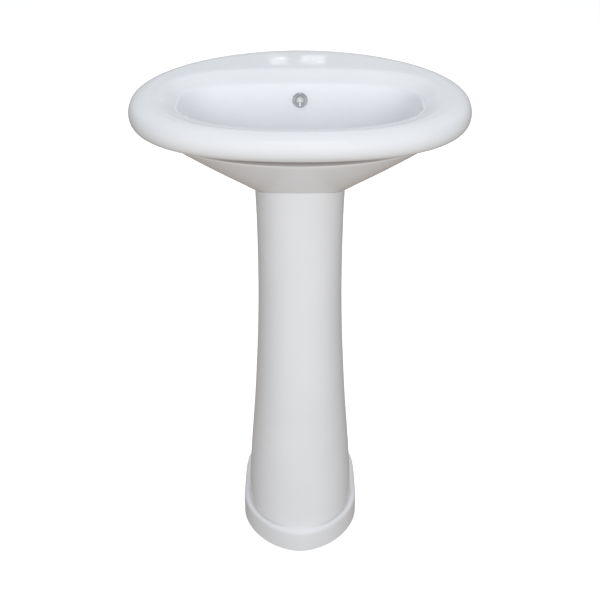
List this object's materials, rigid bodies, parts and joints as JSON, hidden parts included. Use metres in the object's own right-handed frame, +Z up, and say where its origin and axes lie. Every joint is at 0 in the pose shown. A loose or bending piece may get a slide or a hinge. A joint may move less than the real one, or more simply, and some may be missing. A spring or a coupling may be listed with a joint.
{
  "type": "pedestal sink",
  "caption": "Oval ceramic basin with a rolled rim and back deck on a slim ceramic pedestal, with overflow ring, push-to-open waste and bottle trap.",
  "frame": {"origin": "on the floor under the middle of the sink's bounding box", "axes": "+Z up, +Y towards the wall, +X to the right for someone standing in front of the sink and facing the wall"},
  "size_m": [0.5602, 0.455, 0.85],
  "materials": {
    "glaze": "white gloss glaze",
    "chrome": "polished",
    "brass": "turned",
    "spring_steel": "drawn wire",
    "rubber": "matt black",
    "plastic": "white moulded"
  },
  "bodies": {
    "sink": {"basin": "glaze", "pedestal": "glaze", "overflow_ring": "chrome", "waste_body": "chrome", "flange_seal": "rubber", "tapered_washer": "rubber", "friction_washer": "plastic", "waste_backnut": "brass", "cartridge_sleeve": "brass", "cartridge_end": "brass", "cartridge_spring": "spring_steel", "inlet_washer": "rubber", "inlet_tube": "plastic", "inlet_nut": "plastic", "trap_body": "plastic", "neck_washer": "rubber", "neck_nut": "plastic", "outlet_washer": "rubber", "outlet_nut": "plastic", "outlet_tube": "plastic"},
    "plug": {"plug_cap": "chrome", "plug_seal": "rubber", "plug_stem": "brass"},
    "cup": {"trap_cup": "plastic", "cup_seal": "rubber"},
    "rose": {"wall_rose": "chrome"}
  },
  "joints": [
    {"name": "plug_slide", "type": "slide", "parent": "sink", "child": "plug", "axis": [0, 0, 1], "range_m": [0, 0.009], "deforming": ["cartridge_spring"]},
    {"name": "cup_drop", "type": "slide", "parent": "sink", "child": "cup", "axis": [0, 0, 1], "range_m": [-0.065, 0]},
    {"name": "rose_slide", "type": "slide", "parent": "sink", "child": "rose", "axis": [0, 1, 0], "range_m": [-0.06, 0]}
  ]
}
